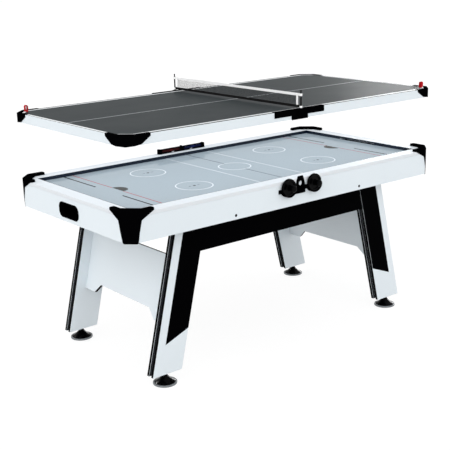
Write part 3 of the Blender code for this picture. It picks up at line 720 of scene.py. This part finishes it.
base_height, base_round, base_shoulder = 0.0082, 0.0020, 0.0052
cone_foot, lip_round = 0.0465, 0.0012
cone_sides = [(0.0330, 0.0168), (0.0215, 0.0268), (0.0140, 0.0352), (0.0112, 0.0400), (0.0112, 0.0440)]
stem_radius, stem_foot, thread_radius = 0.0085, 0.0462, 0.0040
cone_top = leg_low.z - 0.0003
for place in corners:
    low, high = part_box(f"leveler_{place}")
    at = ((low.x + high.x) / 2, (low.y + high.y) / 2 - shift, 0)
    radius = (high.x - low.x) / 2
    profile = [(0, 0), (radius - base_round, 0)]
    profile += fillet((radius - base_round, base_round), base_round, -90, 0)
    profile += fillet((radius - base_round, base_height - base_round), base_round, 0, 90)
    profile += [(radius - base_shoulder, base_height), (0, base_height)]
    base = lathe(profile)
    base.transform(Matrix.Translation(at))
    added(f"leveler_base_{place}", base, foot_rim, f"foot_{place}", smooth=35)
    cone = [(cone_foot, base_height)]
    cone += fillet((cone_foot - 0.0015, base_height + 0.0010), lip_round, 0, 60)
    cone += cone_sides + [(stem_radius, stem_foot), (stem_radius, cone_top)]
    cone += [(thread_radius, cone_top), (thread_radius, high.z), (0, high.z)]
    body = lathe(cone)
    body.transform(Matrix.Translation(at))
    piece = added(f"leveler_cone_{place}", body, gloss_plastic, f"foot_{place}", smooth=40)
    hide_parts(f"leveler_{place}")


# Score digits


def digit(x, z, width, height, stroke):
    """A seven-segment nought as bars."""
    left, right = x - width / 2, x + width / 2
    low, high = z - height / 2, z + height / 2
    return [
        rectangle(left + stroke, high - stroke, right - stroke, high),
        rectangle(left + stroke, low, right - stroke, low + stroke),
        rectangle(left, z + stroke / 3, left + stroke, high - stroke / 2),
        rectangle(right - stroke, z + stroke / 3, right, high - stroke / 2),
        rectangle(left, low + stroke / 2, left + stroke, z - stroke / 3),
        rectangle(right - stroke, low + stroke / 2, right, z - stroke / 3),
    ]


digit_width, digit_height, digit_stroke = 0.006, 0.0088, 0.0013
digit_spread = 0.005
for side, material, slot in (("left", red_digit, "red_lens"), ("right", blue_digit, "blue_lens")):
    low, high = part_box(f"score_display_{side}")
    front = low.y - shift
    middle_x, middle_z = (low.x + high.x) / 2, (low.z + high.z) / 2
    bars = [
        plate([bar], -front + proud / 4, -front + proud / 2, facing_y)
        for x in (middle_x - digit_spread, middle_x + digit_spread)
        for bar in digit(x, middle_z, digit_width, digit_height, digit_stroke)
    ]
    added(f"score_digits_{side}", joined(bars), material, "table")


# Net: yarn mesh, tapes, sleeves and turned posts

net_low, net_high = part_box("net")
post_low, post_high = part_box("net_post_front")
post_radius = (post_high.x - post_low.x) / 2
post_y = shift - (post_low.y + post_high.y) / 2
tape_height, foot_height = 0.011, 0.0115
tape_bottom, foot_top = net_high.z - tape_height, net_low.z + foot_height
side_in, side_out = face_y - 0.020, face_y - 0.010
strand_inset = 0.002
pitch, yarn = 0.0055, 0.0008
strands = []
columns = round(2 * side_in / pitch)
for i in range(columns + 1):
    y = -side_in + 2 * side_in * i / columns
    foot = (-yarn / 3, y - yarn / 2, net_low.z + strand_inset)
    strands.append((foot, (yarn / 3, y + yarn / 2, net_high.z - strand_inset)))
rows = 8
for i in range(1, rows):
    z = foot_top + (tape_bottom - foot_top) * i / rows
    strands.append(((-yarn / 2, -side_in, z - yarn / 2), (yarn / 2, side_in, z + yarn / 2)))
piece = added("net_mesh", boxes(strands), net_yarn, "net_set")
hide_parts("net")


def taped(name, spans, thickness, material):
    """Tape across the net, over spans from (y, z) to (y, z)."""
    half = thickness / 2
    mesh = boxes([((-half, *low), (half, *high)) for low, high in spans])
    eased(added(name, mesh, material, "net_set"), 0.0004)


def sleeve(low, high, y, radius):
    """A short tube of tape round a post."""
    inner, soft = post_radius + 0.0003, 0.0006
    rim = [(inner, low), (radius - soft, low), (radius, low + soft)]
    rim += [(radius, high - soft), (radius - soft, high), (inner, high), (inner, low)]
    mesh = lathe(rim, 48)
    mesh.transform(Matrix.Translation((0, y, 0)))
    return mesh


reach = post_y - post_radius - 0.0004
taped("net_top_tape", [((-reach, tape_bottom), (reach, net_high.z))], 0.0030, white_tape)
taped("net_foot_tape", [((-reach, net_low.z), (reach, foot_top))], 0.0026, black_tape)
side_spans = ((-side_out, -side_in), (side_in, side_out))
side_tapes = [((y0, foot_top), (y1, tape_bottom)) for y0, y1 in side_spans]
taped("net_side_tapes", side_tapes, 0.0032, white_tape)
foot_sleeve = 0.0085
sleeves = [
    sleeve(z0, z1, sign * post_y, post_radius + 0.0026)
    for sign in (-1, 1)
    for z0, z1 in ((tape_bottom, net_high.z), (net_low.z, net_low.z + foot_sleeve))
]
added("net_sleeves", joined(sleeves), white_tape, "net_set", smooth=40)
neck_radius = post_radius * 0.7
for side, sign in sides.items():
    low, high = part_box(f"net_post_{side}")
    top = high.z
    profile = [(0, low.z), (post_radius, low.z), (post_radius, top - 0.0120)]
    profile += [(neck_radius, top - 0.0112), (neck_radius, top - 0.0100)]
    profile += arc((0, top - post_radius), post_radius, -40, 90, 10)
    profile[-1] = (0, top)
    mesh = lathe(profile, 40)
    mesh.transform(Matrix.Translation((0, sign * post_y, 0)))
    piece = added(f"net_post_turned_{side}", mesh, gloss_plastic, "net_set", smooth=40)
    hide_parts(f"net_post_{side}")


# Pull loops: a strap of webbing bent into a closed upright loop

strap_thickness, strap_ease = 0.0022, 0.0005
for place, axis in (("back_left", "Y"), ("front_right", "X")):
    low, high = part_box(f"pull_loop_{place}")
    middle_point = (low + high) / 2
    size = high - low
    strap_width, across = (size.y, size.x) if axis == "Y" else (size.x, size.y)
    bend = across / 2
    radius = bend - strap_thickness / 2
    path = arc((0, size.z - bend), radius, 0, 180, 20) + [(-radius, size.z / 2), (-radius, bend)]
    path += arc((0, bend), radius, 180, 360, 20)[1:] + [(radius, size.z / 2)]
    points, faces = [], []
    for i, (u, v) in enumerate(path):
        before, after = Vector(path[i - 1]), Vector(path[(i + 1) % len(path)])
        along = (after - before).normalized()
        normal = Vector((along.y, -along.x))
        for offset in (-strap_thickness / 2, strap_thickness / 2):
            for w in (-strap_width / 2, strap_width / 2):
                p = Vector((u, v)) + normal * offset
                points.append((p.x, w, p.y) if axis == "Y" else (w, p.x, p.y))
    for i in range(len(path)):
        a, b = 4 * i, 4 * ((i + 1) % len(path))
        faces += [[a, a + 1, b + 1, b], [a + 2, b + 2, b + 3, a + 3]]
        faces += [[a, b, b + 2, a + 2], [a + 1, a + 3, b + 3, b + 1]]
    strap = bpy.data.meshes.new("strap")
    strap.from_pydata(points, [], faces)
    strap.transform(Matrix.Translation((middle_point.x, middle_point.y - shift, low.z)))
    piece = added(f"pull_strap_{place}", strap, red_webbing, "tennis_top", smooth=50)
    eased(piece, strap_ease)
    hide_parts(f"pull_loop_{place}")


# Camera, as fitted to the photograph

yaw, pitch_angle, roll = (math.radians(v) for v in (-38.62, 15.80, -1.51))
eye = Vector((-2.804, -3.424 + shift, 1.750))
ahead = Vector((-math.sin(yaw), math.cos(yaw), 0))
back = -ahead * math.cos(pitch_angle) + Vector((0, 0, math.sin(pitch_angle)))
level = Vector((math.cos(yaw), math.sin(yaw), 0))
upright = back.cross(level)
right = level * math.cos(roll) + upright * math.sin(roll)
up = upright * math.cos(roll) - level * math.sin(roll)
camera_data = bpy.data.cameras.new("camera")
camera_data.sensor_width = 36
camera_data.lens = 75.339
camera_data.clip_end = 100
camera = bpy.data.objects.new("camera", camera_data)
camera.matrix_world = Matrix.Translation(eye) @ Matrix((right, up, back)).transposed().to_4x4()
scene.collection.objects.link(camera)
scene.camera = camera

# Floor, world and lamps


def plain_rays(tree):
    """One for the rays that see the white background: from the camera, reflections and clear pieces."""
    paths = tree.nodes.new("ShaderNodeLightPath")
    value = paths.outputs["Is Camera Ray"]
    for ray in ("Is Glossy Ray", "Is Transmission Ray"):
        value = maths(tree, "MAXIMUM", value, paths.outputs[ray])
    return value


floor_mesh = bpy.data.meshes.new("floor")
floor_mesh.from_pydata([(x, y, 0) for x, y in rectangle(-40, -40, 40, 40)], [], [(0, 1, 2, 3)])
floor = bpy.data.objects.new("floor", floor_mesh)
floor.location.z = -0.0005
scene.collection.objects.link(floor)
floor_material = bpy.data.materials.new("floor")
floor_material.use_nodes = True
tree = floor_material.node_tree
tree.nodes.remove(tree.nodes["Principled BSDF"])
output = tree.nodes["Material Output"]
seen = plain_rays(tree)
glow = tree.nodes.new("ShaderNodeEmission")
glow.inputs["Color"].default_value = (1, 1, 1, 1)
glow.inputs["Strength"].default_value = 0.86
faint = tree.nodes.new("ShaderNodeBsdfDiffuse")
faint.inputs["Color"].default_value = (0.20, 0.20, 0.20, 1)
white_floor = tree.nodes.new("ShaderNodeAddShader")
tree.links.new(glow.outputs[0], white_floor.inputs[0])
tree.links.new(faint.outputs[0], white_floor.inputs[1])
bounce = tree.nodes.new("ShaderNodeBsdfDiffuse")
bounce.inputs["Color"].default_value = (0.50, 0.50, 0.50, 1)
choice = tree.nodes.new("ShaderNodeMixShader")
tree.links.new(seen, choice.inputs[0])
tree.links.new(bounce.outputs[0], choice.inputs[1])
tree.links.new(white_floor.outputs[0], choice.inputs[2])
tree.links.new(choice.outputs[0], output.inputs["Surface"])
floor_mesh.materials.append(floor_material)

world = bpy.data.worlds.new("studio")
world.use_nodes = True
scene.world = world
tree = world.node_tree
background = tree.nodes["Background"]
background.inputs["Color"].default_value = (1, 1, 1, 1)
coords = tree.nodes.new("ShaderNodeTexCoord")


def heading(azimuth, elevation):
    """A direction of length one, its azimuth in degrees from +Y towards +X."""
    a, e = math.radians(azimuth), math.radians(elevation)
    return Vector((math.sin(a) * math.cos(e), math.cos(a) * math.cos(e), math.sin(e)))


def lobe(azimuth, elevation, start, end, low, high):
    """World light that grows from low to high as the view turns towards a direction."""
    dot = tree.nodes.new("ShaderNodeVectorMath")
    dot.operation = "DOT_PRODUCT"
    dot.inputs[1].default_value = heading(azimuth, elevation)
    tree.links.new(coords.outputs["Generated"], dot.inputs[0])
    ramp = tree.nodes.new("ShaderNodeMapRange")
    ramp.interpolation_type = "SMOOTHSTEP"
    ramp.inputs["From Min"].default_value = start
    ramp.inputs["From Max"].default_value = end
    ramp.inputs["To Min"].default_value = low
    ramp.inputs["To Max"].default_value = high
    tree.links.new(dot.outputs["Value"], ramp.inputs["Value"])
    return ramp.outputs["Result"]


front_glow = lobe(232, 0, -0.2, 1.0, 1.05, 2.05)
overhead = lobe(0, 90, 0.2, 1.0, 1.0, 0.62)
studio = maths(tree, "MULTIPLY", front_glow, overhead)
seen = plain_rays(tree)
strength = tree.nodes.new("ShaderNodeMix")
strength.data_type = "FLOAT"
tree.links.new(seen, strength.inputs["Factor"])
tree.links.new(studio, strength.inputs[2])
strength.inputs[3].default_value = 1.0
tree.links.new(strength.outputs[0], background.inputs["Strength"])


def panel_lamp(name, place, aim, size, energy, diffuse=True, glossy=True):
    """A rectangular lamp that faces a point; the camera doesn't see it."""
    data = bpy.data.lights.new(name, "AREA")
    data.shape = "RECTANGLE"
    data.size, data.size_y = size
    data.energy = energy
    lamp = bpy.data.objects.new(name, data)
    lamp.location = place
    lamp.rotation_euler = (Vector(aim) - place).to_track_quat("-Z", "Y").to_euler()
    lamp.visible_camera = False
    lamp.visible_diffuse = diffuse
    lamp.visible_glossy = glossy
    scene.collection.objects.link(lamp)


# Under the raised top, for the rink; far to the right, for the sheen of the top; and a small one for glints
under = Vector((0, shift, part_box("tennis_frame_left")[0].z - 0.012))
under_size = (2 * (face_x - 0.04), 2 * (face_y - 0.04))
panel_lamp("rink_fill", under, (0, shift, 0), under_size, 3.6, glossy=False)
top_middle = Vector((0, shift, tennis_top))
panel_lamp("far_right_sheen", top_middle + 12.0 * heading(70, 4.3), top_middle, (9.0, 1.5), 760, diffuse=False)
leg_middle = Vector((0, shift, 0.3))
panel_lamp("spark", leg_middle + 6.0 * heading(342, 36), leg_middle, (0.22, 0.22), 60, diffuse=False)
